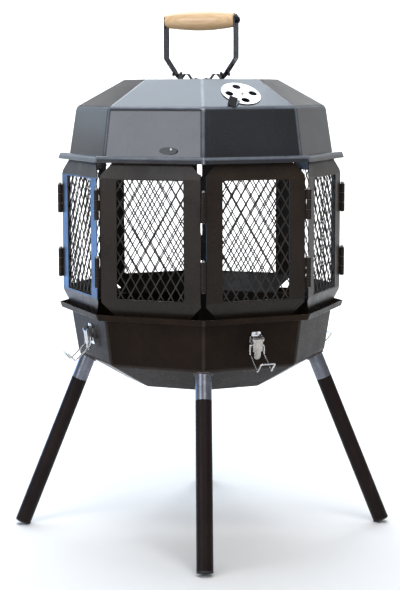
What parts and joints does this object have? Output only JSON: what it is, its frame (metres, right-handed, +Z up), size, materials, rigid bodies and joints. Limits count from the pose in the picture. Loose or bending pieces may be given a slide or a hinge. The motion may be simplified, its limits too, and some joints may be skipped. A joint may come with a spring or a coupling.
{
  "type": "portable screened fire pit",
  "caption": "Portable octagonal outdoor fire pit: pressed steel bowl on pull-out legs, ring of hinged mesh screens, domed lid with damper and wooden bail handle.",
  "frame": {"origin": "on the ground, at the middle of the four feet", "axes": "+Z up; the front leg, under the front corner of the octagon, points along -Y and the right leg along +X"},
  "size_m": [0.6188, 0.6188, 0.8415],
  "materials": {
    "lid_enamel": "dark heat-proof enamel, satin gloss",
    "bowl_enamel": "dark heat-proof enamel, satin gloss",
    "socket_steel": "grey heat-proof paint over steel tube, satin",
    "screen_paint": "dark heat-proof paint, satin",
    "mesh_paint": "dark heat-proof paint, matt",
    "leg_paint": "dark heat-proof paint, satin",
    "small_part_black": "black paint, satin",
    "grate_steel": "sooty bare steel wire",
    "pin_steel": "dull bare steel",
    "damper_steel": "bright zinc plate",
    "handle_steel": "plated strip steel",
    "latch_chrome": "bright plating",
    "lever_steel": "dull plating",
    "handle_wood": "clear lacquered light wood",
    "foot_rubber": "matt black rubber"
  },
  "bodies": {
    "bowl": {"bowl": "bowl_enamel", "leg_socket_front": "socket_steel", "leg_socket_right": "socket_steel", "leg_socket_back": "socket_steel", "leg_socket_left": "socket_steel", "latch_base_front": "latch_chrome", "latch_base_right": "latch_chrome", "latch_base_back": "latch_chrome", "latch_base_left": "latch_chrome", "latch_pins": "latch_chrome", "latch_rivets": "latch_chrome"},
    "grate": {"fire_grate": "grate_steel"},
    "screen": {"screen_frame_1": "screen_paint", "screen_frame_2": "screen_paint", "screen_frame_3": "screen_paint", "screen_frame_4": "screen_paint", "screen_frame_5": "screen_paint", "screen_frame_6": "screen_paint", "screen_frame_7": "screen_paint", "screen_frame_8": "screen_paint", "screen_mesh_1": "mesh_paint", "screen_mesh_2": "mesh_paint", "screen_mesh_3": "mesh_paint", "screen_mesh_4": "mesh_paint", "screen_mesh_5": "mesh_paint", "screen_mesh_6": "mesh_paint", "screen_mesh_7": "mesh_paint", "screen_mesh_8": "mesh_paint", "hinge_leaves_outer": "screen_paint", "hinge_leaves_middle": "screen_paint", "hinge_pins": "pin_steel"},
    "lid": {"lid": "lid_enamel", "lid_boss": "small_part_black", "lid_stud": "damper_steel", "damper_rivet": "damper_steel", "handle_brackets": "small_part_black", "bracket_rivets": "small_part_black"},
    "damper": {"damper_disc": "damper_steel", "damper_tab": "small_part_black"},
    "handle": {"handle_straps": "handle_steel", "handle_grip": "handle_wood", "handle_rod": "handle_steel", "handle_nut": "handle_steel", "handle_pins": "small_part_black"},
    "leg_front": {"leg_front": "leg_paint", "leg_cap_front": "foot_rubber"},
    "leg_right": {"leg_right": "leg_paint", "leg_cap_right": "foot_rubber"},
    "leg_back": {"leg_back": "leg_paint", "leg_cap_back": "foot_rubber"},
    "leg_left": {"leg_left": "leg_paint", "leg_cap_left": "foot_rubber"},
    "latch_lever_front": {"latch_lever_front": "lever_steel"},
    "latch_loop_front": {"latch_loop_front": "latch_chrome"},
    "latch_lever_right": {"latch_lever_right": "lever_steel"},
    "latch_loop_right": {"latch_loop_right": "latch_chrome"},
    "latch_lever_back": {"latch_lever_back": "lever_steel"},
    "latch_loop_back": {"latch_loop_back": "latch_chrome"},
    "latch_lever_left": {"latch_lever_left": "lever_steel"},
    "latch_loop_left": {"latch_loop_left": "latch_chrome"}
  },
  "joints": [
    {"name": "grate_lift", "type": "slide", "parent": "bowl", "child": "grate", "axis": [0, 0, 1], "range_m": [0, 0.2]},
    {"name": "screen_lift", "type": "slide", "parent": "bowl", "child": "screen", "axis": [0, 0, 1], "range_m": [0, 0.15]},
    {"name": "lid_lift", "type": "slide", "parent": "screen", "child": "lid", "axis": [0, 0, 1], "range_m": [0, 0.25]},
    {"name": "damper_turn", "type": "hinge", "parent": "lid", "child": "damper", "pos_m": [0.0588, -0.14195, 0.70883], "axis": [0.1968, -0.4752, 0.8576], "range_deg": [0, 45]},
    {"name": "handle_swing", "type": "hinge", "parent": "lid", "child": "handle", "pos_m": [0, 0, 0.7395], "axis": [0.9239, -0.3827, 0], "range_deg": [-78, 78]},
    {"name": "leg_pull_front", "type": "slide", "parent": "bowl", "child": "leg_front", "axis": [0, -0.3733, -0.9277], "range_m": [0, 0.05]},
    {"name": "leg_pull_right", "type": "slide", "parent": "bowl", "child": "leg_right", "axis": [0.3733, 0, -0.9277], "range_m": [0, 0.05]},
    {"name": "leg_pull_back", "type": "slide", "parent": "bowl", "child": "leg_back", "axis": [0.0078, 0.3732, -0.9277], "range_m": [0, 0.05]},
    {"name": "leg_pull_left", "type": "slide", "parent": "bowl", "child": "leg_left", "axis": [-0.3733, 0, -0.9277], "range_m": [0, 0.05]},
    {"name": "latch_lever_front_hinge", "type": "hinge", "parent": "bowl", "child": "latch_lever_front", "pos_m": [0.08252, -0.18224, 0.33708], "axis": [-0.9239, -0.3827, 0], "range_deg": [0, 110]},
    {"name": "latch_loop_front_hinge", "type": "hinge", "parent": "latch_lever_front", "child": "latch_loop_front", "pos_m": [0.08212, -0.18127, 0.32763], "axis": [0.9239, 0.3827, 0], "range_deg": [-90, 15]},
    {"name": "latch_lever_right_hinge", "type": "hinge", "parent": "bowl", "child": "latch_lever_right", "pos_m": [0.18224, 0.08252, 0.33708], "axis": [0.3827, -0.9239, 0], "range_deg": [0, 110]},
    {"name": "latch_loop_right_hinge", "type": "hinge", "parent": "latch_lever_right", "child": "latch_loop_right", "pos_m": [0.18127, 0.08212, 0.32763], "axis": [-0.3827, 0.9239, 0], "range_deg": [-90, 15]},
    {"name": "latch_lever_back_hinge", "type": "hinge", "parent": "bowl", "child": "latch_lever_back", "pos_m": [-0.08252, 0.18224, 0.33708], "axis": [0.9239, 0.3827, 0], "range_deg": [0, 110]},
    {"name": "latch_loop_back_hinge", "type": "hinge", "parent": "latch_lever_back", "child": "latch_loop_back", "pos_m": [-0.08212, 0.18127, 0.32763], "axis": [-0.9239, -0.3827, 0], "range_deg": [-90, 15]},
    {"name": "latch_lever_left_hinge", "type": "hinge", "parent": "bowl", "child": "latch_lever_left", "pos_m": [-0.18224, -0.08252, 0.33708], "axis": [-0.3827, 0.9239, 0], "range_deg": [0, 110]},
    {"name": "latch_loop_left_hinge", "type": "hinge", "parent": "latch_lever_left", "child": "latch_loop_left", "pos_m": [-0.18127, -0.08212, 0.32763], "axis": [0.3827, -0.9239, 0], "range_deg": [-90, 15]}
  ]
}
